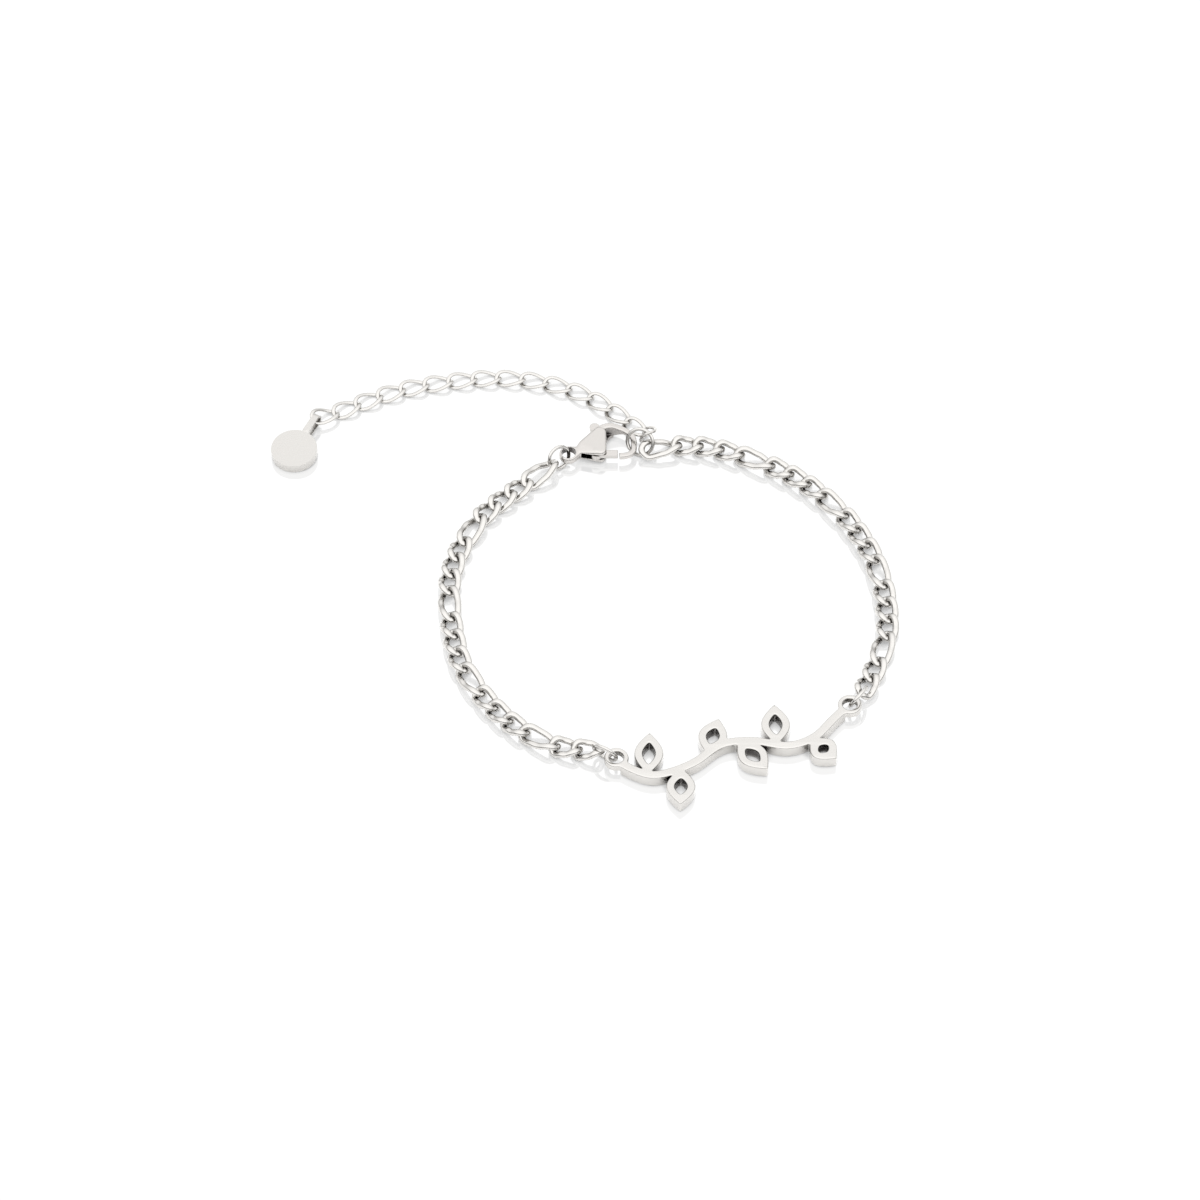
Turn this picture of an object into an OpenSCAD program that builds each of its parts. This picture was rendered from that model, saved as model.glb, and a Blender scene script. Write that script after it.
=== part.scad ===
// Nameplate bracelet: two figaro chains, a plate cut as a leafy sprig, a lobster clasp hooked on a ring,
// and a light extender chain with a round tag. All lengths are in millimetres and all angles in degrees.
// The bracelet lies on a surface at z = 0. +X runs to the right along the plate, +Y towards the clasp.

/* [Figaro chain] */
// Thickness of the wire in the two figaro chains
chain_wire = 0.7; // [0.6:0.05:0.7]
// Outer width of a figaro link
chain_link_w = 2.85; // [2.8:0.05:3]
// Pitch of a long link over the pitch of a short one
long_ratio = 1.55; // [1.4:0.05:1.7]
// Links in each figaro chain, every fourth one long
chain_links = 19; // [18:1:20]

/* [Extender chain] */
// Thickness of the wire in the extender chain
extender_wire = 0.35; // [0.3:0.05:0.4]
// Outer width of an extender link
extender_link_w = 2.6; // [2.4:0.1:2.8]
// Links between the tag and the raised last link
extender_links = 15; // [13:1:15]

/* [Jump rings] */
// Thickness of the wire in the jump rings
ring_wire = 0.45; // [0.4:0.05:0.5]
// Outer diameter of the clasp's ring
ring_d = 3.3; // [3.2:0.05:3.4]
// Outer diameter of the nameplate's two rings
end_ring_d = 3.35; // [3.3:0.05:3.45]
// Outer diameter of the ring that the hook catches
hook_ring_d = 3.7; // [3.65:0.05:3.75]

/* [Nameplate] */
// Distance between the centres of the two eyelets
plate_l = 28.4; // [26:0.2:30]
// Reach of the longest leaf across the plate, from the line through the eyelets
plate_reach = 9; // [8:0.5:10]
// Thickness of the plate
plate_t = 1.6; // [1.4:0.1:1.8]
// Width of the stem
stem_w = 1.1; // [0.9:0.1:1.3]
// Width of a leaf, over its rim
leaf_w = 3.4; // [3:0.2:4]
// Width of a leaf's rim
leaf_rim = 0.95; // [0.8:0.05:1.1]
// Diameter of an eyelet's hole
eyelet_hole_d = 1.75; // [1.7:0.05:1.9]
// Width of the rim around an eyelet's hole
eyelet_rim = 0.55; // [0.45:0.05:0.65]
// Thickness of an eyelet, measured down from the plate's face
eyelet_t = 0.8; // [0.7:0.05:0.85]

/* [Clasp] */
// Thickness of the clasp over its two cheeks
clasp_t = 1.9; // [1.8:0.1:2.1]
// Height of the slot between the cheeks
slot_h = 0.8; // [0.75:0.05:0.85]
// Thickness of the eye
eye_t = 1; // [0.9:0.05:1.05]
// Diameter of the eye's hole
eye_hole_d = 1.75; // [1.7:0.05:1.9]
// Width of the rim around the eye's hole
eye_rim = 0.3; // [0.25:0.05:0.4]
// Thickness of the hook where it passes through its ring
hook_t = 0.6; // [0.55:0.05:0.65]
// Diameter of the lever's pin
pin_d = 0.6; // [0.5:0.05:0.7]
// Width of the lever's arm
lever_arm_w = 0.7; // [0.6:0.05:0.8]
// Width of the lever's gate
gate_w = 0.95; // [0.85:0.05:1]
// Diameter of the thumb nub
nub_d = 1.25; // [1.1:0.05:1.4]

/* [Tag] */
// Diameter of the round tag
tag_d = 5.6; // [5:0.1:6.5]
// Thickness of the tag
tag_t = 1.2; // [1.1:0.1:1.4]
// Reach of the bail beyond the tag's rim
bail_l = 3.2; // [2.8:0.1:3.6]
// Height of the bail
bail_h = 1.6; // [1.5:0.05:1.7]
// Width of the bail's strip
bail_w = 0.8; // [0.7:0.05:0.9]
// Thickness of the bail's strip
bail_strip = 0.26; // [0.22:0.02:0.3]

/* [Fit] */
// Gap between two pieces that meet
gap = 0.1; // [0.08:0.01:0.12]

/* [Hidden] */
$fn = 48;

// Sides of a link's wire and sections around a link
WIRE_SIDES = 6;
LINK_SECTIONS = 14;
// Depth that a cutting tool runs past the face it cuts
PAST = 1;

// Chosen points of the three chains' routes, between their worked out ends
LEFT_ROUTE = [[-8.8, 13.3], [-12.2, 9.7], [-14.9, 3.8], [-15.7, -1.4], [-15.1, -8], [-13.8, -13.4],
    [-10.2, -19.2], [-6.4, -22.9], [-2.9, -24.9]];
RIGHT_ROUTE = [[11.7, 21.35], [16.7, 20.8], [23, 18.1], [27.6, 14.9], [31.9, 9.9], [35.2, 3], [36.3, -3.7],
    [36.1, -9], [34, -15]];
EXTENDER_ROUTE = [[-27.4, 28.4], [-22, 30.8], [-16.2, 32.1], [-10.5, 32.7], [-4.7, 32], [0.8, 29.7],
    [5.3, 25.9]];

// Places of the pieces that the chains run between
EYE_AT = [-1.5, 19.55];
EYELET_AT = [4.2, -27];
PLATE_HEADING = 16;
TAG_AT = [-34.84, 20.6];
TAG_HEADING = 62;
TAG_TILT = 4;

// Heading and lean of each jump ring: its level axis and how far its left side is turned up
CLASP_RING_HEADING = 37;
CLASP_RING_LEAN = 70;
HOOK_RING_HEADING = -20;
HOOK_RING_LEAN = 57.2;
LEFT_RING_HEADING = -28;
LEFT_RING_LEAN = -75;
RIGHT_RING_HEADING = 54;
RIGHT_RING_LEAN = -66;

// Raised last link of the extender: its heading and slope, its roll about its own length, and how far its lower
// joint sits over the lying links'
RAISED_HEADING = -65;
RAISED_SLOPE = 51.2;
RAISED_ROLL = 25;
RAISED_RISE = 0.16;

// Twist of a link's wire up and down, and how far its end reaches past the joint, as shares of wire and gap
TWIST_SHARE = 0.68;
TIP_SHARE = 0.66;

function unit(v) = v / norm(v);
function direction(angle) = [cos(angle), sin(angle)];
function on_level(p, z) = [p.x, p.y, z];

// Running totals of a list, from zero
function running(v) = [for (i = 0, s = 0; i <= len(v); s = s + (i < len(v) ? v[i] : 0), i = i + 1) s];

// Smooth curve through chosen points, in equal steps between each two
function curve_point(p, i, u) = let (
    a = p[max(i - 1, 0)],
    b = p[i],
    c = p[i + 1],
    d = p[min(i + 2, len(p) - 1)])
    (2 * b + (c - a) * u + (2 * a - 5 * b + 4 * c - d) * u ^ 2 + (3 * b - a - 3 * c + d) * u ^ 3) / 2;
function curve(p, steps) = [
    for (i = [0 : len(p) - 2]) for (j = [0 : steps - 1]) curve_point(p, i, j / steps),
    p[len(p) - 1]];

// Distance along a line of points, and the point at a distance along it
function distances(p) = running([for (i = [1 : len(p) - 1]) norm(p[i] - p[i - 1])]);
function point_at(p, d, s) = [
    lookup(s, [for (i = [0 : len(p) - 1]) [d[i], p[i].x]]),
    lookup(s, [for (i = [0 : len(p) - 1]) [d[i], p[i].y]])];

// Joints of a chain that fills a route, each link taking its share of the length
ROUTE_STEPS = 12;
function joints(route, shares, z) = let (
    line = curve(route, ROUTE_STEPS),
    d = distances(line),
    s = running(shares),
    whole = d[len(d) - 1],
    parts = s[len(s) - 1])
    [for (x = s) on_level(point_at(line, d, whole * x / parts), z)];
function figaro(count) = [for (i = [0 : count - 1]) i % 4 == 0 ? long_ratio : 1];

// Sizes that follow from the wire: half the width and twist of a link's centre line, its reach past a joint
// and the height of that line over the surface
function half_w(link_w, wire) = (link_w - wire) / 2;
function twist(wire) = TWIST_SHARE * (wire + gap);
function tip(wire) = TIP_SHARE * (wire + gap);
function lying(wire) = twist(wire) + wire / 2;

chain_z = lying(chain_wire);
extender_z = lying(extender_wire);

// Jump rings: radius of the centre line, its height when the ring rests on the surface, and the way in plan
// from the centre to where the line passes a level, on the side named by 1 or -1
ring_r = (ring_d - ring_wire) / 2;
end_ring_r = (end_ring_d - ring_wire) / 2;
hook_ring_r = (hook_ring_d - ring_wire) / 2;
function ring_z(r, lean) = r * abs(sin(lean)) + ring_wire / 2;
function ring_way(r, heading, lean, z, side) = let (up = (z - ring_z(r, lean)) / sin(lean))
    side * sqrt(r ^ 2 - up ^ 2) * direction(heading) + up * cos(lean) * direction(heading + 90);

// How far a ring's wire sits off the centre of the hole that it passes through
RING_PLAY = 0.05;

// A chain's first or last joint: its level over the lying joints, how far its link's tip sits inside the ring's
// wire or the bail, how far it lies to the side, and its place
RISE = 0.33;
ring_joint_z = chain_z + RISE;
RING_SEAT = 0.85;
LEFT_RING_SEAT = 1.05;
LEFT_ASIDE = -0.05;
HOOK_RING_SEAT = 1.43;
HOOK_ASIDE = -0.05;
TAG_SEAT = 0.4;
TAG_ASIDE = 0.39;
TAG_RISE = 0.1;
function hung(at, towards, wire, seat = RING_SEAT, aside = 0) = let (way = unit(towards - at))
    at + (tip(wire) - seat) * way + aside * [-way.y, way.x];

// Clasp: its middle level, half way up the ring in its eye
clasp_z = 1.2;
eye_d = eye_hole_d + 2 * eye_rim;
clasp_ring_at = EYE_AT - ring_way(ring_r, CLASP_RING_HEADING, CLASP_RING_LEAN, clasp_z, 1);
clasp_ring_link = clasp_ring_at + ring_way(ring_r, CLASP_RING_HEADING, CLASP_RING_LEAN, ring_joint_z, -1);

// Nameplate: the middle level of its eyelets, and its two rings
eyelet_d = eyelet_hole_d + 2 * eyelet_rim;
eyelet_z = plate_t - eyelet_t / 2;
far_eyelet_at = EYELET_AT + plate_l * direction(PLATE_HEADING);
left_ring_at = EYELET_AT - ring_way(end_ring_r, LEFT_RING_HEADING, LEFT_RING_LEAN, eyelet_z, 1)
    - RING_PLAY * direction(LEFT_RING_HEADING);
left_ring_link = left_ring_at + ring_way(end_ring_r, LEFT_RING_HEADING, LEFT_RING_LEAN, ring_joint_z, -1);
right_ring_at = far_eyelet_at - ring_way(end_ring_r, RIGHT_RING_HEADING, RIGHT_RING_LEAN, eyelet_z, -1)
    + RING_PLAY * direction(RIGHT_RING_HEADING);
right_ring_link = right_ring_at + ring_way(end_ring_r, RIGHT_RING_HEADING, RIGHT_RING_LEAN, ring_joint_z, 1);

// Hook: its centre line from the spine round to its tip, in the clasp's frame, then its width as a share of
// hook_w and how far its height has grown from hook_t to clasp_t
hook_w = 0.7;
HOOK = [[3.3, 3.15, 1.1, 0.8], [4.1, 3.85, 1.2, 0.95], [5.1, 4.13, 1.2, 0.95], [6.2, 4.05, 1.15, 0.4],
    [7.15, 3.65, 1.05, 0], [7.8, 2.75, 1, 0], [7.95, 1.5, 1, 0], [7.8, 0.5, 1, 0], [7.1, -0.05, 1, 0.05],
    [6.15, -0.2, 1, 0.1]];
HOOK_SIDE = [HOOK[6].x, HOOK[6].y];

// Ring on the hook: its wire clears the inner edge of the hook's side, and its centre lies further back
hook_play = 0.315;
hook_ring_back = 0.27;
hook_ring_at = EYE_AT + HOOK_SIDE
    + [hook_ring_r - hook_w / 2 - hook_play - ring_wire / 2, hook_ring_back];
hook_ring_link = hook_ring_at + ring_way(hook_ring_r, HOOK_RING_HEADING, HOOK_RING_LEAN, ring_joint_z, 1);

// Tag: a point of its own frame, x out along the bail and z up through its thickness, set in the bracelet
tag_lift = tag_d / 2 * sin(TAG_TILT);
function tag_point(x, z) = let (out = x * cos(TAG_TILT) - z * sin(TAG_TILT))
    on_level(TAG_AT + out * direction(TAG_HEADING), tag_lift + x * sin(TAG_TILT) + z * cos(TAG_TILT));
bail_end = tag_d / 2 + bail_l;
bail_play = 0.15;
bail_seat = tag_point(bail_end - bail_strip - extender_wire / 2 - gap - bail_play, tag_t / 2);

// Last lying joint of the extender, from the centre of the ring on the hook
EXTENDER_BEHIND = [0.42, 2.03];

// Joints of the three chains. A figaro chain's end links ride up on their rings.
function raised_ends(at) = [
    for (i = [0 : len(at) - 1]) i == 0 || i == len(at) - 1 ? on_level(at[i], ring_joint_z) : at[i]];
left_joints = raised_ends(joints(
    concat([hung(clasp_ring_link, LEFT_ROUTE[0], chain_wire)], LEFT_ROUTE,
        [hung(left_ring_link, LEFT_ROUTE[len(LEFT_ROUTE) - 1], chain_wire, LEFT_RING_SEAT, LEFT_ASIDE)]),
    figaro(chain_links), chain_z));
right_joints = raised_ends(joints(
    concat([hung(hook_ring_link, RIGHT_ROUTE[0], chain_wire, HOOK_RING_SEAT, HOOK_ASIDE)], RIGHT_ROUTE,
        [hung(right_ring_link, RIGHT_ROUTE[len(RIGHT_ROUTE) - 1], chain_wire)]),
    figaro(chain_links), chain_z));
extender_start = hung([bail_seat.x, bail_seat.y], EXTENDER_ROUTE[0], extender_wire, TAG_SEAT, TAG_ASIDE);
extender_end = hook_ring_at + EXTENDER_BEHIND;
extender_flat = joints(
    concat([extender_start], EXTENDER_ROUTE, [extender_end]),
    [for (i = [1 : extender_links]) 1], extender_z);
extender_pitch = norm(extender_flat[len(extender_flat) - 1] - extender_flat[len(extender_flat) - 2]);
extender_bend = on_level(extender_end, extender_z + RAISED_RISE);
extender_top = extender_bend + extender_pitch
    * on_level(cos(RAISED_SLOPE) * direction(RAISED_HEADING), sin(RAISED_SLOPE));
extender_joints = concat(
    [on_level(extender_start, bail_seat.z + TAG_RISE)],
    [for (i = [1 : extender_links - 1]) extender_flat[i]],
    [extender_bend, extender_top]);

// Curb link: a closed wire, round in plan, whose sides rise and dip by the twist
function link_line(half_l, half_w, twist) = [
    for (i = [0 : LINK_SECTIONS - 1]) let (t = 360 * i / LINK_SECTIONS)
        [half_l * cos(t), half_w * sin(t), -twist * sin(2 * t)]];
function link_skin(line, r) = [
    for (i = [0 : len(line) - 1]) let (
        along = unit(line[(i + 1) % len(line)] - line[(i + len(line) - 1) % len(line)]),
        side = unit(cross(along, [0, 0, 1])),
        top = cross(side, along))
        for (k = [0 : WIRE_SIDES - 1]) let (a = 360 * (k + 0.5) / WIRE_SIDES)
            line[i] + r * (cos(a) * side + sin(a) * top)];
// Rows of a link's own axes between two joints, rolled about the line between them
function link_axes(p, q, roll) = let (
    along = unit(q - p),
    level = unit(cross([0, 0, 1], along)),
    side = cos(roll) * level + sin(roll) * cross(along, level))
    [along, side, cross(along, side)];
function link_points(p, q, roll, link_w, wire) = let (
    rows = link_axes(p, q, roll),
    line = link_line(norm(q - p) / 2 + tip(wire), half_w(link_w, wire), twist(wire)))
    [for (v = link_skin(line, wire / 2)) (p + q) / 2 + v * rows];
function link_faces(first) = [
    for (i = [0 : LINK_SECTIONS - 1]) for (k = [0 : WIRE_SIDES - 1]) let (
        here = first + i * WIRE_SIDES,
        next = first + (i + 1) % LINK_SECTIONS * WIRE_SIDES,
        l = (k + 1) % WIRE_SIDES)
        each [[here + k, next + l, next + k], [here + k, here + l, next + l]]];

// Chain of loose links, one between each two joints, the last one rolled
module chain(at, link_w, wire, last_roll = 0) {
    last = len(at) - 1;
    polyhedron(
        points = [for (i = [1 : last])
            each link_points(at[i - 1], at[i], i == last ? last_roll : 0, link_w, wire)],
        faces = [for (i = [0 : last - 1]) each link_faces(i * LINK_SECTIONS * WIRE_SIDES)]);
}

module jump_ring(at, r, heading, lean) {
    translate(on_level(at, ring_z(r, lean)))
        rotate([lean, 0, heading])
        rotate_extrude()
        translate([r, 0])
        circle(d = ring_wire, $fn = 24);
}

// Band of one width along a line of points
function band(line, w) = let (
    last = len(line) - 1,
    side = [for (i = [0 : last]) let (v = unit(line[min(i + 1, last)] - line[max(i - 1, 0)])) [-v.y, v.x]])
    concat(
        [for (i = [0 : last]) line[i] + side[i] * w / 2],
        [for (i = [last : -1 : 0]) line[i] - side[i] * w / 2]);

// Sprig: its stem as shares of the plate's length and reach, and its leaves as the share of the length
// where each grows, its heading and its length as a share of the reach
STEM = [[0, 0], [0.035, -0.2], [0.13, -0.41], [0.29, -0.36], [0.43, -0.17], [0.56, -0.22], [0.69, -0.42],
    [0.81, -0.38], [0.92, -0.15], [1, 0]];
LEAVES = [[0.1, 72, 0.68], [0.24, -108, 0.595], [0.36, 58, 0.6], [0.5, -66, 0.6], [0.65, 76, 0.66],
    [0.79, -60, 0.46]];
STEM_STEPS = 7;
LEAF_STEPS = 12;
stem_line = curve([for (s = STEM) [s.x * plate_l, s.y * plate_reach]], STEM_STEPS);
function stem_at(share) = [share * plate_l, lookup(share * plate_l, [for (p = stem_line) [p.x, p.y]])];
function leaf_outline(from, to, w) = [
    for (side = [1, -1]) for (i = [0 : LEAF_STEPS - 1]) let (
        u = side > 0 ? i / LEAF_STEPS : 1 - i / LEAF_STEPS)
        [from + (to - from) * u, side * w / 2 * sin(180 * u)]];

module leaf(length) {
    point = 1.5 * leaf_rim;
    difference() {
        polygon(leaf_outline(0, length, leaf_w));
        polygon(leaf_outline(point, length - point, leaf_w - 2 * leaf_rim));
    }
}

module sprig() {
    polygon(band(stem_line, stem_w));
    for (l = LEAVES)
        translate(stem_at(l[0])) rotate(l[1]) leaf(l[2] * plate_reach);
}

module at_eyelets() {
    for (x = [0, plate_l]) translate([x, 0, 0]) children();
}

module nameplate() {
    color("gainsboro")
        translate(on_level(EYELET_AT, 0))
        rotate(PLATE_HEADING)
        difference() {
            union() {
                linear_extrude(plate_t) sprig();
                at_eyelets() cylinder(d = eyelet_d, h = plate_t);
            }
            at_eyelets() translate([0, 0, -PAST]) cylinder(d = eyelet_hole_d, h = plate_t + 2 * PAST);
            at_eyelets() translate([0, 0, -PAST]) cylinder(r = eyelet_d / 2 + gap, h = PAST + plate_t - eyelet_t);
        }
}

module left_chain() {
    color("silver") chain(left_joints, chain_link_w, chain_wire);
}

module right_chain() {
    color("silver") chain(right_joints, chain_link_w, chain_wire);
}

module extender_chain() {
    color("silver") chain(extender_joints, extender_link_w, extender_wire, last_roll = RAISED_ROLL);
}

module clasp_ring() {
    color("lightgray") jump_ring(clasp_ring_at, ring_r, CLASP_RING_HEADING, CLASP_RING_LEAN);
}

module hook_ring() {
    color("lightgray") jump_ring(hook_ring_at, hook_ring_r, HOOK_RING_HEADING, HOOK_RING_LEAN);
}

module left_end_ring() {
    color("lightgray") jump_ring(left_ring_at, end_ring_r, LEFT_RING_HEADING, LEFT_RING_LEAN);
}

module right_end_ring() {
    color("lightgray") jump_ring(right_ring_at, end_ring_r, RIGHT_RING_HEADING, RIGHT_RING_LEAN);
}

// Clasp frame: origin in the eye's centre, x along the clasp to the hook, z = 0 half way up.
// The body is drawn tight over soft discs: centre, radius and thickness as a share of clasp_t.
DISCS = [[1.25, 0.45, 0.55, 0.6], [1.75, 1.3, 0.6, 0.8], [3.75, 3.05, 0.85, 1], [3.85, 0.25, 0.75, 1]];
soft_edge = 0.3;
FILLET_CORNER = [4.6, 3.85];
FILLET_R = 1.6;
FILLET_SHARE = 0.75;
SLOT = [[1.55, -2], [5, -2], [5, 1.25], [3.95, 1.25], [3.95, 5], [1.55, 5]];
PIVOT = [3.38, 0.15];
NUB = [3.15, 4.3];
GATE_END = 5.98;
HEAD_D = 1.45;

// Plate of a thickness about the middle level
module slab(t) {
    translate([0, 0, -t / 2]) linear_extrude(t) children();
}

module in_clasp() {
    translate(on_level(EYE_AT, clasp_z)) children();
}

// Disc with a rounded edge
module soft_disc(x, y, r, t) {
    translate([x, y, 0]) for (a = [0, 45, 90])
        cylinder(r = r - soft_edge * (1 - cos(a)), h = t - 2 * soft_edge * (1 - sin(a)), center = true, $fn = 32);
}

// Hook and the spine that it grows from, swept along their line with their corners cut off
HOOK_STEPS = 4;
CORNER_SHARE = 0.2;
function block(w, h) = let (c = CORNER_SHARE * min(w, h)) [
    for (s = [[1, 1], [-1, 1], [-1, -1], [1, -1]])
        each s.x == s.y
            ? [[s.x * w / 2, s.y * (h / 2 - c)], [s.x * (w / 2 - c), s.y * h / 2]]
            : [[s.x * (w / 2 - c), s.y * h / 2], [s.x * w / 2, s.y * (h / 2 - c)]]];
module hook() {
    line = curve(HOOK, HOOK_STEPS);
    last = len(line) - 1;
    n = len(block(1, 1));
    polyhedron(
        points = [for (i = [0 : last]) let (
            p = line[i],
            v = line[min(i + 1, last)] - line[max(i - 1, 0)],
            side = unit([v.y, -v.x]))
            for (b = block(hook_w * p[2], hook_t + (clasp_t - hook_t) * p[3]))
                [p.x + b.x * side.x, p.y + b.x * side.y, b.y]],
        faces = concat(
            [[for (k = [n - 1 : -1 : 0]) k], [for (k = [0 : n - 1]) last * n + k]],
            [for (i = [0 : last - 1]) for (k = [0 : n - 1]) let (l = (k + 1) % n)
                each [[i * n + k, i * n + l, (i + 1) * n + l], [i * n + k, (i + 1) * n + l, (i + 1) * n + k]]]));
}

// Fillet between the lower cheek and the spine
module spine_fillet() {
    translate([0, 0, -clasp_t / 2]) linear_extrude((clasp_t - slot_h) / 2) difference() {
        translate(FILLET_CORNER - [hook_w / 2, FILLET_R]) square([FILLET_SHARE * FILLET_R, FILLET_R + hook_w / 2]);
        translate(FILLET_CORNER + [FILLET_R, -FILLET_R]) circle(FILLET_R);
    }
}

module clasp_body() {
    color("whitesmoke") in_clasp() {
        difference() {
            union() {
                hull() for (d = DISCS) soft_disc(d.x, d.y, d[2], d[3] * clasp_t);
                hull() {
                    soft_disc(0, 0, eye_d / 2, eye_t);
                    soft_disc(DISCS[0].x, DISCS[0].y, DISCS[0][2], DISCS[0][3] * clasp_t);
                }
                spine_fillet();
                hook();
            }
            translate([0, 0, -clasp_t]) cylinder(d = eye_hole_d, h = 2 * clasp_t);
            slab(slot_h) polygon(SLOT);
        }
        translate(on_level(PIVOT, -clasp_t / 2)) cylinder(d = pin_d, h = clasp_t);
    }
}

module clasp_lever() {
    lever_t = slot_h - 2 * gap;
    gate = [[PIVOT.x, PIVOT.y - gate_w / 2], [GATE_END, PIVOT.y - gate_w / 2],
        [GATE_END, PIVOT.y + gate_w / 2], [PIVOT.x, PIVOT.y + gate_w / 2]];
    color("whitesmoke") in_clasp() difference() {
        union() {
            translate(on_level(PIVOT, -lever_t / 2)) cylinder(d = HEAD_D, h = lever_t);
            slab(lever_t) polygon(gate);
            slab(lever_t) polygon(band([PIVOT, NUB], lever_arm_w));
            translate(on_level(NUB, -lever_t / 2)) cylinder(d = nub_d, h = lever_t);
        }
        translate(on_level(PIVOT, -clasp_t)) cylinder(d = pin_d + 2 * gap, h = 2 * clasp_t);
    }
}

// Outline with round ends, x from one end to the other and y across
END_STEPS = 8;
function round_ended(from, to, w) = concat(
    [for (i = [0 : END_STEPS]) [to - w / 2, 0] + w / 2 * direction(180 * i / END_STEPS - 90)],
    [for (i = [0 : END_STEPS]) [from + w / 2, 0] + w / 2 * direction(180 * i / END_STEPS + 90)]);

// Strip bail, its end sunk into the tag's rim
bail_sink = 0.4;
module bail() {
    translate([0, bail_w / 2, tag_t / 2]) rotate([90, 0, 0]) linear_extrude(bail_w) difference() {
        polygon(round_ended(tag_d / 2 - bail_sink, bail_end, bail_h));
        polygon(round_ended(tag_d / 2 + bail_strip, bail_end - bail_strip, bail_h - 2 * bail_strip));
    }
}

module end_tag() {
    color("gainsboro")
        translate(on_level(TAG_AT, tag_lift))
        rotate([0, -TAG_TILT, TAG_HEADING]) {
            cylinder(d = tag_d, h = tag_t);
            bail();
        }
}

nameplate();
left_chain();
right_chain();
extender_chain();
clasp_ring();
hook_ring();
left_end_ring();
right_end_ring();
clasp_body();
clasp_lever();
end_tag();
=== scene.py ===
"""Dresses the nameplate bracelet in polished steel and lays it on a white studio floor."""

import math
import typing

import bmesh
import bpy
import numpy as np
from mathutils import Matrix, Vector, geometry


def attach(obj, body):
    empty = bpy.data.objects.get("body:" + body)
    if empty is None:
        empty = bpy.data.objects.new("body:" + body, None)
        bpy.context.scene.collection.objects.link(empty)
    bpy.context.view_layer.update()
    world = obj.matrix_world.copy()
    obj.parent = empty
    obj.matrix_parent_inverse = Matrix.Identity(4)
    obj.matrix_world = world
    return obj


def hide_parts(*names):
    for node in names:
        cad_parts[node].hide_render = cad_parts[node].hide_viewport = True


bl_info = {
    "name": "Nameplate Bracelet",
    "version": (1, 0, 0),
    "blender": (4, 5, 0),
    "location": "3D View > Sidebar > Bracelet",
    "description": "Dresses a figaro nameplate bracelet in polished stainless steel",
    "category": "Add Mesh",
}

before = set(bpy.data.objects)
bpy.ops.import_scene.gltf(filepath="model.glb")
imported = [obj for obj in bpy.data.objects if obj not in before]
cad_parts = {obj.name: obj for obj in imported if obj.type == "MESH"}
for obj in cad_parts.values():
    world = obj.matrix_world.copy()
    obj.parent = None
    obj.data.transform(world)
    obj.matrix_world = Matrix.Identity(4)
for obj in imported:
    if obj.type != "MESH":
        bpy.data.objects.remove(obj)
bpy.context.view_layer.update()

MM = 0.001
# Points of the frame closer than this are one point
WELD = 1e-3 * MM

# The photograph's view: its elevation and the point that it looks at, then, in its pixels, the width of a
# millimetre there, the focal length and the frame's side
VIEW_ELEVATION = 50.7
VIEW_TARGET = Vector((2.3, -2.2, 0)) * MM
PIXELS_PER_MM = 8.4
FOCAL_PIXELS = 5420
FRAME_PIXELS = 1200
SENSOR_WIDTH = 36


def linear(hex_colour):
    """A colour written as sRGB hex, as the linear values that Blender's sockets take."""
    values = [int(hex_colour[i : i + 2], 16) / 255 for i in (1, 3, 5)]
    return tuple(v / 12.92 if v <= 0.04045 else ((v + 0.055) / 1.055) ** 2.4 for v in values) + (1.0,)


def colour_setting(name, description, hex_colour):
    return bpy.props.FloatVectorProperty(
        name=name,
        description=description,
        subtype="COLOR",
        size=4,
        min=0,
        max=1,
        default=linear(hex_colour),
    )


def length_setting(name, description, millimetres):
    return bpy.props.FloatProperty(
        name=name, description=description, unit="LENGTH", min=0, precision=5, default=millimetres * MM
    )


def ratio_setting(name, description, value):
    return bpy.props.FloatProperty(name=name, description=description, min=1, precision=3, default=value)


class BraceletSizes(bpy.types.PropertyGroup):
    """Sizes of the pieces that the frame doesn't give by itself."""

    figaro_wire: length_setting("Figaro wire", "Thickness of the wire in the two figaro chains", 0.7)
    figaro_width: length_setting("Figaro link width", "Outer width of a figaro link", 2.85)
    figaro_twist: length_setting("Figaro twist", "How far a figaro link's wire rises and dips", 0.517)
    figaro_flattening: ratio_setting("Figaro flattening", "Width of its wire over its height", 1.14)
    figaro_squareness: ratio_setting("Figaro squareness", "Power of its outline: an ellipse has 2", 2.1)
    figaro_twist_focus: ratio_setting("Figaro twist focus", "How near its ends a link is twisted", 1.7)
    figaro_tightening: length_setting("Figaro tightening", "How far a link's ends are drawn in", 0.12)
    extender_wire: length_setting("Extender wire", "Thickness of the wire in the extender chain", 0.35)
    extender_width: length_setting("Extender link width", "Outer width of an extender link", 2.6)
    extender_twist: length_setting("Extender twist", "How far its wire rises and dips", 0.306)
    extender_flattening: ratio_setting("Extender flattening", "Width of its wire over its height", 1.45)
    plate_rounding: length_setting("Plate rounding", "Radius of the nameplate's polished edges", 0.2)
    eyelet_thickness: length_setting("Eyelet thickness", "Thickness of the nameplate's two eyelets", 0.8)
    eyelet_rim: length_setting("Eyelet rim", "Width of the rim around an eyelet's hole", 0.55)
    eyelet_gap: length_setting("Eyelet clearance", "Free space around the ring under an eyelet", 0.1)
    tag_rounding: length_setting("Tag rounding", "Width of the end tag's rounded edges", 0.18)


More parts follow.
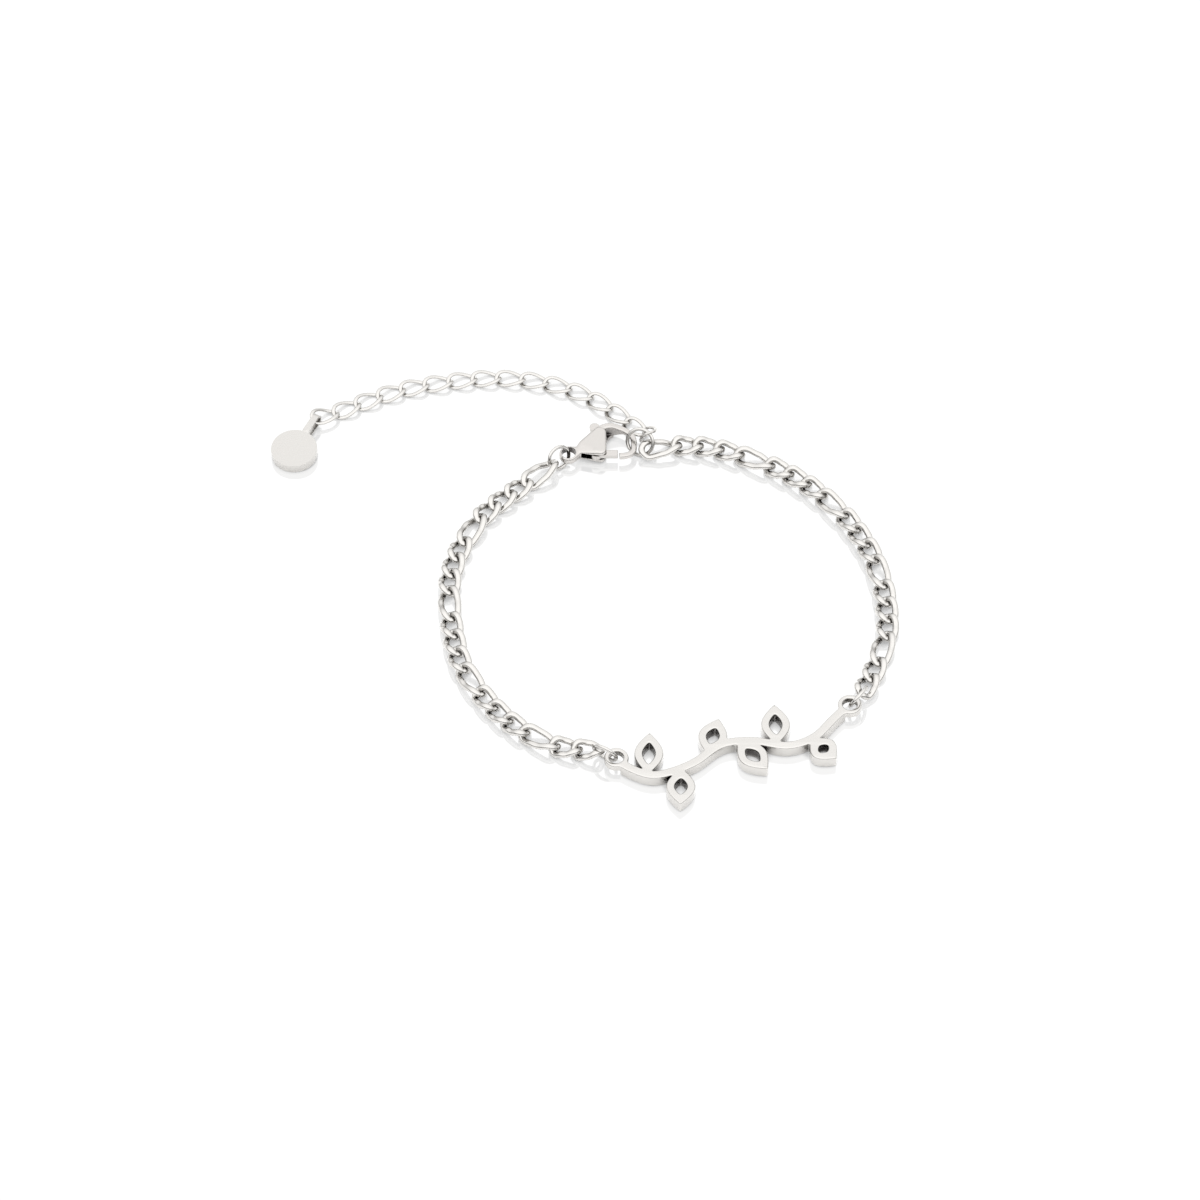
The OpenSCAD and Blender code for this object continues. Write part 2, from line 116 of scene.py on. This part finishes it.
class BraceletColours(bpy.types.PropertyGroup):
    """Colours of the metal, of its painted corner shade and of the studio."""

    wire: colour_setting("Chain steel", "Reflection of the drawn and tumbled wire", "#B4B2AF")
    plate: colour_setting("Plate steel", "Reflection of the polished sheet", "#B4B2AF")
    clasp: colour_setting("Clasp steel", "Reflection of the brushed casting", "#AEABA8")
    tag: colour_setting("Tag steel", "Reflection of the brushed disc", "#AFADAA")
    # Painted shade: the colour that the steel takes in its tightest corners and hollows
    corner_shade: colour_setting("Painted corner shade", "Painted shade in the tightest corners and hollows", "#241E1E")
    floor: colour_setting("Floor", "The white table", "#FFFFFF")


def sizes():
    return bpy.context.scene.bracelet_sizes


def colours():
    return bpy.context.scene.bracelet_colours


def add(tree, kind, inputs=None, stops=(), **settings):
    """Adds a node, with its settings, a ramp's stops, and values or links for its inputs."""
    node = tree.nodes.new(kind)
    for key, value in settings.items():
        setattr(node, key, value)
    for place, value in stops:
        ends = node.color_ramp.elements
        stop = ends.new(place) if 0 < place < 1 else ends[0 if place == 0 else len(ends) - 1]
        stop.color = (value, value, value, 1)
    for key, value in (inputs or {}).items():
        if isinstance(value, bpy.types.NodeSocket):
            tree.links.new(value, node.inputs[key])
        else:
            node.inputs[key].default_value = value
    return node


def new_material(name):
    material = bpy.data.materials.new(name)
    material.use_nodes = True
    material.node_tree.nodes.clear()
    return material, material.node_tree


def made_once(build):
    """Builds a material at its first use and keeps it for the next ones."""
    kept = {}

    def get():
        if build not in kept:
            kept[build] = build()
        return kept[build]

    return get


# The soft patches of more and less gloss are this wide
PATCH = 1.5 * MM
# The streaks and the patches add up to between these two values nearly everywhere
EVEN_LOW, EVEN_HIGH = 0.6, 1.4
STREAK_STRENGTH = 0.5
# Rays that measure how open a spot is
OPEN_RAYS = 8


def polished_steel(name, colour, *, stretch, grain, roughness, depth, corner, openness):
    """Polished steel: fine streaks left by the buff, soft patches of gloss, and painted shade in tight
    corners and hollows.

    The streaks lie grain millimetres apart, are depth millimetres deep and run along the axis with the
    smallest stretch. The painted shade darkens a spot where its open share, measured over corner
    millimetres,
    is low: openness gives the share at which the steel is fully shaded, then the one at which it is
    unshaded.
    Real streaks lie about 0.01 mm apart, and these are 10 to 25 times as coarse, because finer ones
    wouldn't show.
    """
    material, tree = new_material(name)
    place = add(tree, "ShaderNodeTexCoord").outputs["Object"]
    stretched = add(tree, "ShaderNodeMapping", {"Vector": place, "Scale": stretch})
    lines = add(
        tree,
        "ShaderNodeTexNoise",
        {"Vector": stretched.outputs[0], "Scale": 1 / (grain * MM), "Detail": 3.0},
    )
    patches = add(tree, "ShaderNodeTexNoise", {"Vector": place, "Scale": 1 / PATCH, "Detail": 2.0})
    both = add(
        tree, "ShaderNodeMath", {0: lines.outputs["Fac"], 1: patches.outputs["Fac"]}, operation="ADD"
    )
    gloss = add(
        tree,
        "ShaderNodeMapRange",
        {
            "Value": both.outputs[0],
            "From Min": EVEN_LOW,
            "From Max": EVEN_HIGH,
            "To Min": roughness[0],
            "To Max": roughness[1],
        },
    )
    bump = add(
        tree,
        "ShaderNodeBump",
        {"Height": lines.outputs["Fac"], "Strength": STREAK_STRENGTH, "Distance": depth * MM},
    )
    # Painted shade: where little of the space around a spot is open, its colour runs to the painted corner
    # shade colour
    open_share = add(
        tree, "ShaderNodeAmbientOcclusion", {"Distance": corner * MM}, samples=OPEN_RAYS, only_local=True
    )
    unshaded = add(
        tree,
        "ShaderNodeMapRange",
        {"Value": open_share.outputs["AO"], "From Min": openness[0], "From Max": openness[1]},
        interpolation_type="SMOOTHSTEP",
    )
    tone = add(
        tree,
        "ShaderNodeMix",
        {"Factor": unshaded.outputs[0], "A": colours().corner_shade, "B": colour},
        data_type="RGBA",
    )
    shader = add(
        tree,
        "ShaderNodeBsdfPrincipled",
        {
            "Base Color": tone.outputs["Result"],
            "Metallic": 1.0,
            "Roughness": gloss.outputs[0],
            "Normal": bump.outputs[0],
        },
    )
    add(tree, "ShaderNodeOutputMaterial", {"Surface": shader.outputs[0]})
    return material


@made_once
def wire_steel():
    # Stainless steel wire, drawn and tumble polished: a bright skin with a faint haze of fine scratches
    return polished_steel(
        "Tumbled stainless steel wire",
        colours().wire,
        stretch=(1, 1, 1),
        grain=0.25,
        roughness=(0.06, 0.16),
        depth=0.002,
        corner=0.5,
        openness=(0, 0.55),
    )


@made_once
def plate_steel():
    # Stainless steel sheet, laser cut and mirror polished: even gloss with faint streaks along the buff
    return polished_steel(
        "Mirror polished steel sheet",
        colours().plate,
        stretch=(0.15, 1, 1),
        grain=0.15,
        roughness=(0.08, 0.2),
        depth=0.001,
        corner=2.2,
        openness=(0.22, 0.78),
    )


@made_once
def clasp_steel():
    # Investment cast steel, brushed on a belt: short parallel lines that spread the light
    return polished_steel(
        "Brushed cast steel",
        colours().clasp,
        stretch=(1, 0.2, 1),
        grain=0.12,
        roughness=(0.14, 0.28),
        depth=0.002,
        corner=3.0,
        openness=(0.4, 0.97),
    )


@made_once
def tag_steel():
    # Stamped steel disc, brushed one way: a silky face with fine lines
    return polished_steel(
        "Brushed steel disc",
        colours().tag,
        stretch=(0.2, 1, 1),
        grain=0.12,
        roughness=(0.18, 0.32),
        depth=0.002,
        corner=0.8,
        openness=(0.1, 0.6),
    )


def loose_parts(node):
    """Corner points of each loose solid of a CAD node."""
    bm = bmesh.new()
    bm.from_mesh(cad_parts[node].data)
    bmesh.ops.remove_doubles(bm, verts=bm.verts, dist=WELD)
    parts, seen = [], set()
    for start in bm.verts:
        if start in seen:
            continue
        seen.add(start)
        waiting, part = [start], []
        while waiting:
            vert = waiting.pop()
            part.append(vert.co[:])
            for edge in vert.link_edges:
                other = edge.other_vert(vert)
                if other not in seen:
                    seen.add(other)
                    waiting.append(other)
        parts.append(np.array(part))
    bm.free()
    return parts


def own_axes(points):
    """Centre of a solid and its own axes as rows: along its length, its width and its thickness."""
    centre = points.mean(0)
    spread = (points - centre).T @ (points - centre)
    rows = np.linalg.eigh(spread)[1].T[::-1]
    rows[2] = np.cross(rows[0], rows[1])
    return centre, rows


def piece(name, verts, faces, material, body="root", replaces=()):
    """A mesh object from points and faces, riding on a body and standing for CAD nodes."""
    mesh = bpy.data.meshes.new(name)
    mesh.from_pydata([tuple(v) for v in verts], [], [tuple(f) for f in faces])
    mesh.validate()
    mesh.shade_smooth()
    mesh.materials.append(material)
    made = bpy.data.objects.new(name, mesh)
    bpy.context.scene.collection.objects.link(made)
    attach(made, body)
    if replaces:
        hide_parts(*replaces)
    return made


def tube(line, radius, sides, flattening=1.0):
    """Skin of a wire along a closed line that never runs along z, as points and quads."""
    count = len(line)
    along = np.roll(line, -1, 0) - np.roll(line, 1, 0)
    along /= np.linalg.norm(along, axis=1)[:, None]
    side = np.cross(along, (0, 0, 1))
    side /= np.linalg.norm(side, axis=1)[:, None]
    top = np.cross(side, along)
    turn = 2 * np.pi * np.arange(sides) / sides
    points = (
        line[:, None]
        + flattening * radius * np.cos(turn)[None, :, None] * side[:, None]
        + radius * np.sin(turn)[None, :, None] * top[:, None]
    )
    faces = []
    for i in range(count):
        for k in range(sides):
            here, ahead = i * sides, (i + 1) % count * sides
            faces.append((here + k, here + (k + 1) % sides, ahead + (k + 1) % sides, ahead + k))
    return points.reshape(-1, 3), faces


LINK_SECTIONS = 56
LINK_SIDES = 18
# The frame's links have six-sided wire, whose flats lie this share of a radius from the centre line
FLAT_SHARE = math.cos(math.radians(30))


class Link(typing.NamedTuple):
    """Wire, outer width and twist of a link, then how it departs from a twisted ellipse of round wire."""

    wire: float
    width: float
    twist: float
    flattening: float = 1.0
    squareness: float = 2.0
    twist_focus: float = 1.0
    tightening: float = 0.0


def bent(values, power):
    """Values raised to a power, each with its own sign."""
    return np.sign(values) * np.abs(values) ** power


def link_skin(part, link):
    """A smooth link in the place of one of the frame's links, its wire broadened inwards."""
    centre, rows = own_axes(part)
    inset = (link.flattening - 1) * link.wire / 2
    reach = np.abs((part - centre) @ rows[0]).max() - link.tightening
    turn = 2 * np.pi * np.arange(LINK_SECTIONS) / LINK_SECTIONS
    line = np.stack(
        [
            (reach - FLAT_SHARE * link.wire / 2 - inset) * bent(np.cos(turn), 2 / link.squareness),
            ((link.width - link.wire) / 2 - inset) * bent(np.sin(turn), 2 / link.squareness),
            -link.twist * bent(np.sin(2 * turn), link.twist_focus),
        ],
        1,
    )
    points, faces = tube(line, link.wire / 2, LINK_SIDES, link.flattening)
    return points @ rows + centre, faces


def smooth_chain(node, link):
    """Smooth links in the place of a chain's node."""
    verts, faces = [], []
    for part in loose_parts(node):
        points, quads = link_skin(part, link)
        faces += [tuple(len(verts) + k for k in quad) for quad in quads]
        verts += list(points)
    return piece(node + "_links", verts, faces, wire_steel(), replaces=[node])


class BRACELET_OT_chains(bpy.types.Operator):
    """Smooth links in the place of the three chains"""

    bl_idname = "bracelet.chains"
    bl_label = "Chains"

    def execute(self, context):
        s = sizes()
        figaro = Link(
            s.figaro_wire,
            s.figaro_width,
            s.figaro_twist,
            s.figaro_flattening,
            s.figaro_squareness,
            s.figaro_twist_focus,
            s.figaro_tightening,
        )
        smooth_chain("left_chain", figaro)
        smooth_chain("right_chain", figaro)
        light = Link(s.extender_wire, s.extender_width, s.extender_twist, s.extender_flattening)
        smooth_chain("extender_chain", light)
        return {"FINISHED"}


RING_SECTIONS = 120
RING_SIDES = 24


def smooth_ring(node):
    """A round ring in the place of a node, its size read from the node's own points."""
    (part,) = loose_parts(node)
    centre, rows = own_axes(part)
    reach = np.linalg.norm(((part - centre) @ rows.T)[:, :2], axis=1)
    wire = reach.max() - reach.min()
    turn = 2 * np.pi * np.arange(RING_SECTIONS) / RING_SECTIONS
    middle = (reach.max() + reach.min()) / 2
    line = np.stack([middle * np.cos(turn), middle * np.sin(turn), 0 * turn], 1)
    points, faces = tube(line, wire / 2, RING_SIDES)
    points = points @ rows + centre
    return piece(node + "_wire", points, faces, wire_steel(), replaces=[node])


class BRACELET_OT_rings(bpy.types.Operator):
    """Smooth wire in the place of the four jump rings"""

    bl_idname = "bracelet.rings"
    bl_label = "Jump rings"

    def execute(self, context):
        for node in ("clasp_ring", "hook_ring", "left_end_ring", "right_end_ring"):
            smooth_ring(node)
        return {"FINISHED"}


# An outline turns by more degrees than this at a corner
CORNER = 28
# Its curves are drawn in steps of this length
OUTLINE_STEP = 0.12 * MM
# The polish takes the points off its corners in so many passes
POLISH_PASSES = 6


def top_outlines(node):
    """Closed outlines of a flat node's top face, each a list of points in plan, the solid on their left."""
    bm = bmesh.new()
    bm.from_mesh(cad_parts[node].data)
    bmesh.ops.remove_doubles(bm, verts=bm.verts, dist=WELD)
    top = max(v.co.z for v in bm.verts)
    on_top = {face for face in bm.faces if all(abs(v.co.z - top) < WELD for v in face.verts)}
    ahead = {}
    for face in bm.faces:
        if face in on_top:
            for loop in face.loops:
                if not all(other in on_top for other in loop.edge.link_faces):
                    ahead[loop.vert.index] = loop.link_loop_next.vert.index
    bm.verts.ensure_lookup_table()
    place = {i: np.array(bm.verts[i].co[:2]) for i in ahead}
    outlines = []
    while ahead:
        here, line = next(iter(ahead)), []
        while here in ahead:
            line.append(place[here])
            here = ahead.pop(here)
        outlines.append(np.array(line))
    bm.free()
    return outlines, top


def between(before, start, end, after, share):
    """A point on the smooth curve from start to end, given the points before and after them."""
    return (
        2 * start
        + (end - before) * share
        + (2 * before - 5 * start + 4 * end - after) * share**2
        + (3 * start - before - 3 * end + after) * share**3
    ) / 2


def redrawn(line):
    """A closed outline drawn again in short even steps, smooth between its corners."""
    back, on = line - np.roll(line, 1, 0), np.roll(line, -1, 0) - line
    turn = np.abs(
        np.degrees(np.arctan2(back[:, 0] * on[:, 1] - back[:, 1] * on[:, 0], (back * on).sum(1)))
    )
    corners = np.flatnonzero(turn > CORNER)
    if len(corners):
        line = np.roll(line, -corners[0], 0)
        corners = list(corners - corners[0]) + [len(line)]
    else:
        corners = [0, len(line)]
    closed = np.vstack([line, line[:1]])
    whole = len(corners) == 2 and turn.max() <= CORNER
    drawn = []
    for first, last in zip(corners, corners[1:]):
        stretch = closed[first : last + 1]
        for i in range(len(stretch) - 1):
            before = stretch[i - 1] if i else (stretch[-2] if whole else stretch[0])
            after = stretch[i + 2] if i + 2 < len(stretch) else (stretch[1] if whole else stretch[-1])
            start, end = stretch[i], stretch[i + 1]
            steps = max(1, round(np.linalg.norm(end - start) / OUTLINE_STEP))
            drawn += [between(before, start, end, after, share) for share in np.arange(steps) / steps]
    drawn = np.array(drawn)
    for _ in range(POLISH_PASSES):
        drawn = (np.roll(drawn, 1, 0) + 2 * drawn + np.roll(drawn, -1, 0)) / 4
    return drawn


# A step inward at a corner is lengthened by no more than one over this
LEAST_LEAN = 0.6


def inward(line):
    """Unit steps into the solid at each point of an outline that has the solid on its left."""
    back, on = line - np.roll(line, 1, 0), np.roll(line, -1, 0) - line
    back /= np.linalg.norm(back, axis=1)[:, None]
    on /= np.linalg.norm(on, axis=1)[:, None]
    left = np.stack([-(back + on)[:, 1], (back + on)[:, 0]], 1)
    left /= np.linalg.norm(left, axis=1)[:, None]
    lean = np.abs(left[:, 0] * -back[:, 1] + left[:, 1] * back[:, 0])
    return left / np.maximum(lean, LEAST_LEAN)[:, None]


ROUNDING_STEPS = 5


def rounded_plate(outlines, top, radius):
    """Closed skin of a plate on z = 0, its upper and lower edges rounded, as points and faces."""
    quarter = np.radians(np.linspace(0, 90, ROUNDING_STEPS + 1))
    inset = radius * (1 - np.cos(quarter))
    rise = radius * (1 - np.sin(quarter))
    profile = list(zip(inset[::-1], rise[::-1])) + list(zip(inset, top - rise))
    verts, faces, rings = [], [], []
    for line in outlines:
        step, count = inward(line), len(line)
        first = len(verts)
        for way, z in profile:
            verts += [(x, y, z) for x, y in line + way * step]
        for level in range(len(profile) - 1):
            for i in range(count):
                a, b = first + level * count + i, first + level * count + (i + 1) % count
                faces.append((a, b, b + count, a + count))
        rings.append((first, first + (len(profile) - 1) * count, count))
    for which in (0, 1):
        loops = [list(range(ring[which], ring[which] + ring[2])) for ring in rings]
        flat = [v for loop in loops for v in loop]
        triangles = geometry.tessellate_polygon([[Vector(verts[v]) for v in loop] for loop in loops])
        faces += [tuple(flat[i] for i in t) for t in triangles]
    return verts, faces


def tidy_skin(made):
    """Turns all faces outward and gives the large flats true flat shading."""
    bm = bmesh.new()
    bm.from_mesh(made.data)
    bmesh.ops.remove_doubles(bm, verts=bm.verts, dist=WELD)
    bmesh.ops.recalc_face_normals(bm, faces=bm.faces)
    bm.to_mesh(made.data)
    bm.free()
    made.data.shade_smooth()
    made.modifiers.new("Flats", "WEIGHTED_NORMAL").keep_sharp = True


CUTTER_SIDES = 96


def cutter(name, centre, radius, low, high):
    """Upright cylinder that a boolean takes away."""
    bm = bmesh.new()
    bmesh.ops.create_cone(
        bm, cap_ends=True, segments=CUTTER_SIDES, radius1=radius, radius2=radius, depth=high - low
    )
    bmesh.ops.translate(bm, verts=bm.verts, vec=(*centre, (low + high) / 2))
    mesh = bpy.data.meshes.new(name)
    bm.to_mesh(mesh)
    bm.free()
    made = bpy.data.objects.new(name, mesh)
    bpy.context.scene.collection.objects.link(made)
    return made


def bake_modifiers(made):
    """Replaces an object's mesh with what its modifiers make of it."""
    bpy.context.view_layer.update()
    evaluated = made.evaluated_get(bpy.context.evaluated_depsgraph_get())
    mesh = bpy.data.meshes.new_from_object(evaluated)
    made.modifiers.clear()
    made.data = mesh


# The points of a round hole's outline lie this near a circle, as a share of its radius
ROUND_SPREAD = 0.01


class BRACELET_OT_nameplate(bpy.types.Operator):
    """The leafy nameplate with smooth outlines and polished, rounded edges"""

    bl_idname = "bracelet.nameplate"
    bl_label = "Nameplate"

    def execute(self, context):
        s = sizes()
        outlines, top = top_outlines("nameplate")
        holes = []
        for line in outlines:
            centre = line.mean(0)
            reach = np.linalg.norm(line - centre, axis=1)
            if np.ptp(reach) < ROUND_SPREAD * reach.mean():
                holes.append((centre, reach.mean()))
        if len(holes) != 2:
            raise RuntimeError(f"the nameplate has {len(holes)} round holes, not one at each end")
        verts, faces = rounded_plate([redrawn(line) for line in outlines], top, s.plate_rounding)
        made = piece("nameplate_sprig", verts, faces, plate_steel(), replaces=["nameplate"])
        tidy_skin(made)
        cutters = []
        for n, (centre, radius) in enumerate(holes):
            reach = radius + s.eyelet_rim + s.eyelet_gap
            cut = cutter(f"eyelet_cut_{n}", centre, reach, -MM, top - s.eyelet_thickness)
            trim = made.modifiers.new(f"Eyelet {n}", "BOOLEAN")
            trim.operation, trim.object, trim.solver = "DIFFERENCE", cut, "EXACT"
            cutters.append(cut)
        # The shading is worked out after both cuts
        made.modifiers.move(0, len(cutters))
        bake_modifiers(made)
        for cut in cutters:
            bpy.data.objects.remove(cut)
        return {"FINISHED"}


# A casting is meshed anew at this size, and tumbling softens its edges in so many passes
CASTING_VOXEL = 0.055 * MM
TUMBLING_PASSES = 6


def casting(node, name, body):
    """A cast piece in the place of a node, its edges tumbled soft."""
    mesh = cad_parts[node].data.copy()
    mesh.materials.clear()
    mesh.materials.append(clasp_steel())
    made = bpy.data.objects.new(name, mesh)
    bpy.context.scene.collection.objects.link(made)
    weld = made.modifiers.new("Weld", "WELD")
    weld.merge_threshold = WELD
    remesh = made.modifiers.new("Casting", "REMESH")
    remesh.mode, remesh.voxel_size, remesh.use_smooth_shade = "VOXEL", CASTING_VOXEL, True
    smooth = made.modifiers.new("Tumbling", "SMOOTH")
    smooth.factor, smooth.iterations = 0.5, TUMBLING_PASSES
    bake_modifiers(made)
    made.data.shade_smooth()
    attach(made, body)
    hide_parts(node)
    return made


class BRACELET_OT_clasp(bpy.types.Operator):
    """The lobster clasp's cast body and lever, with tumbled edges"""

    bl_idname = "bracelet.clasp"
    bl_label = "Lobster clasp"

    def execute(self, context):
        casting("clasp_body", "clasp_body_casting", "root")
        casting("clasp_lever", "clasp_lever_casting", "clasp_lever")
        return {"FINISHED"}


# The tag's edges are rounded in so many steps, wherever it turns by more degrees than this
EDGE_STEPS = 5
EDGE_ANGLE = 35


class BRACELET_OT_tag(bpy.types.Operator):
    """The round tag and its strip bail"""

    bl_idname = "bracelet.tag"
    bl_label = "End tag"

    def execute(self, context):
        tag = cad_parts["end_tag"]
        tag.data.materials.clear()
        tag.data.materials.append(tag_steel())
        weld = tag.modifiers.new("Weld", "WELD")
        weld.merge_threshold = WELD
        # The frame's triangles become whole faces, so that only true edges are rounded
        flats = tag.modifiers.new("Flats", "DECIMATE")
        flats.decimate_type, flats.angle_limit = "DISSOLVE", math.radians(1)
        edge = tag.modifiers.new("Edges", "BEVEL")
        edge.width, edge.segments = sizes().tag_rounding, EDGE_STEPS
        edge.angle_limit = math.radians(EDGE_ANGLE)
        tag.modifiers.new("Shading", "WEIGHTED_NORMAL")
        return {"FINISHED"}


FLOOR_REACH = 3.0


def floor_panel(name, height, material):
    """A wide level panel of the stage."""
    corners = [(FLOOR_REACH * x, FLOOR_REACH * y, height) for x, y in ((-1, -1), (1, -1), (1, 1), (-1, 1))]
    mesh = bpy.data.meshes.new(name)
    mesh.from_pydata(corners, [], [(0, 1, 2, 3)])
    mesh.materials.append(material)
    made = bpy.data.objects.new(name, mesh)
    bpy.context.scene.collection.objects.link(made)
    return made


# The painted contact shadow on the floor reaches this far
CONTACT_REACH = 0.9 * MM
# The floor's glow where the painted contact shadow covers it and where it is open; its reflections come on
# top
SHADOWED_WHITE, OPEN_WHITE = 0.3, 0.76
# A spot counts as open from this share on
OPEN_FROM = 0.8


def seen_acrylic():
    # Polished white acrylic sheet, as the camera sees it: an even white glow, greyed by a painted shadow
    # under what lies on it, that mirrors it faintly
    material, tree = new_material("White acrylic as seen")
    near = add(tree, "ShaderNodeAmbientOcclusion", {"Distance": CONTACT_REACH}, samples=OPEN_RAYS)
    # Painted shadow: the floor's glow is dimmed where the pieces cover it
    painted_shadow = add(
        tree,
        "ShaderNodeMapRange",
        {
            "Value": near.outputs["AO"],
            "From Min": 0.0,
            "From Max": OPEN_FROM,
            "To Min": SHADOWED_WHITE,
            "To Max": OPEN_WHITE,
        },
        interpolation_type="SMOOTHSTEP",
    )
    white = add(tree, "ShaderNodeEmission", {"Color": colours().floor, "Strength": painted_shadow.outputs[0]})
    mirror = add(tree, "ShaderNodeBsdfGlossy", {"Color": (0.16, 0.16, 0.16, 1), "Roughness": 0.05})
    both = add(tree, "ShaderNodeAddShader", {0: white.outputs[0], 1: mirror.outputs[0]})
    add(tree, "ShaderNodeOutputMaterial", {"Surface": both.outputs[0]})
    return material


def lit_acrylic():
    # The same sheet, as the steel sees it: it gives the studio's light back to the undersides
    material, tree = new_material("White acrylic as lit")
    matt = add(tree, "ShaderNodeBsdfDiffuse", {"Color": (0.97, 0.97, 0.97, 1)})
    shine = add(tree, "ShaderNodeBsdfGlossy", {"Color": (1, 1, 1, 1), "Roughness": 0.04})
    both = add(tree, "ShaderNodeMixShader", {0: 0.15, 1: matt.outputs[0], 2: shine.outputs[0]})
    add(tree, "ShaderNodeOutputMaterial", {"Surface": both.outputs[0]})
    return material


# Brightness of the light tent by the height of the direction, from the table to overhead: on the camera's
# side, where the tent is open and the room dark, and at its back wall
FRONT_OF_TENT = ((0, 0.04), (0.15, 0.08), (0.34, 0.6), (0.55, 1.0), (1, 1.0))
BACK_OF_TENT = ((0, 0.4), (0.25, 0.6), (0.6, 0.85), (0.8, 0.86), (1, 1.0))
# One side passes into the other where a direction points this far to the front or the back
TENT_BLEND = 0.3
TENT_STRENGTH = 2.2


def light_tent():
    """The light all around: a white tent that is open to the front."""
    world = bpy.data.worlds.new("Studio")
    world.use_nodes = True
    tree = world.node_tree
    tree.nodes.clear()
    way = add(tree, "ShaderNodeTexCoord").outputs["Generated"]
    parts = add(tree, "ShaderNodeSeparateXYZ", {"Vector": way}).outputs
    front = add(tree, "ShaderNodeValToRGB", {"Fac": parts["Z"]}, stops=FRONT_OF_TENT)
    back = add(tree, "ShaderNodeValToRGB", {"Fac": parts["Z"]}, stops=BACK_OF_TENT)
    side = add(
        tree,
        "ShaderNodeMapRange",
        {"Value": parts["Y"], "From Min": -TENT_BLEND, "From Max": TENT_BLEND},
        interpolation_type="SMOOTHSTEP",
    )
    glow = add(
        tree,
        "ShaderNodeMix",
        {"Factor": side.outputs[0], "A": front.outputs["Color"], "B": back.outputs["Color"]},
        data_type="RGBA",
    )
    tent = add(
        tree, "ShaderNodeBackground", {"Color": glow.outputs["Result"], "Strength": TENT_STRENGTH}
    )
    add(tree, "ShaderNodeOutputWorld", {"Surface": tent.outputs[0]})
    return world


def long_lens_camera():
    """The camera at the photograph's angle, distance and framing."""
    far = FOCAL_PIXELS / PIXELS_PER_MM * MM
    lean = math.radians(VIEW_ELEVATION)
    data = bpy.data.cameras.new("Camera")
    data.sensor_width = SENSOR_WIDTH
    data.lens = SENSOR_WIDTH * FOCAL_PIXELS / FRAME_PIXELS
    data.clip_start = far / 100
    camera = bpy.data.objects.new("Camera", data)
    camera.location = VIEW_TARGET + far * Vector((0, -math.cos(lean), math.sin(lean)))
    camera.rotation_euler = (math.pi / 2 - lean, 0, 0)
    bpy.context.scene.collection.objects.link(camera)
    return camera


# The floor that the steel sees lies this far under the one that the camera sees
UNDER = 0.02 * MM


class BRACELET_OT_studio(bpy.types.Operator):
    """White glossy floor, a light tent that is open to the front, and the camera"""

    bl_idname = "bracelet.studio"
    bl_label = "Studio"

    def execute(self, context):
        seen = floor_panel("floor_seen", 0.0, seen_acrylic())
        seen.visible_diffuse = seen.visible_glossy = seen.visible_shadow = False
        lit = floor_panel("floor_lit", -UNDER, lit_acrylic())
        lit.visible_camera = False
        context.scene.view_settings.view_transform = "Standard"
        context.scene.world = light_tent()
        context.scene.camera = long_lens_camera()
        return {"FINISHED"}


PIECES = (
    BRACELET_OT_studio,
    BRACELET_OT_chains,
    BRACELET_OT_rings,
    BRACELET_OT_nameplate,
    BRACELET_OT_clasp,
    BRACELET_OT_tag,
)


class BRACELET_PT_panel(bpy.types.Panel):
    """Lists the pieces of the bracelet and its sizes"""

    bl_label = "Nameplate bracelet"
    bl_space_type = "VIEW_3D"
    bl_region_type = "UI"
    bl_category = "Bracelet"

    def draw(self, context):
        for maker in PIECES:
            self.layout.operator(maker.bl_idname)
        for group in (sizes(), colours()):
            for name in group.__annotations__:
                self.layout.prop(group, name)


CLASSES = (BraceletSizes, BraceletColours, *PIECES, BRACELET_PT_panel)


def register():
    for each in CLASSES:
        bpy.utils.register_class(each)
    bpy.types.Scene.bracelet_sizes = bpy.props.PointerProperty(type=BraceletSizes)
    bpy.types.Scene.bracelet_colours = bpy.props.PointerProperty(type=BraceletColours)


def unregister():
    del bpy.types.Scene.bracelet_colours
    del bpy.types.Scene.bracelet_sizes
    for each in reversed(CLASSES):
        bpy.utils.unregister_class(each)


def main():
    register()
    bpy.ops.bracelet.studio()
    bpy.ops.bracelet.chains()
    bpy.ops.bracelet.rings()
    bpy.ops.bracelet.nameplate()
    bpy.ops.bracelet.clasp()
    bpy.ops.bracelet.tag()


if __name__ == "__main__":
    main()
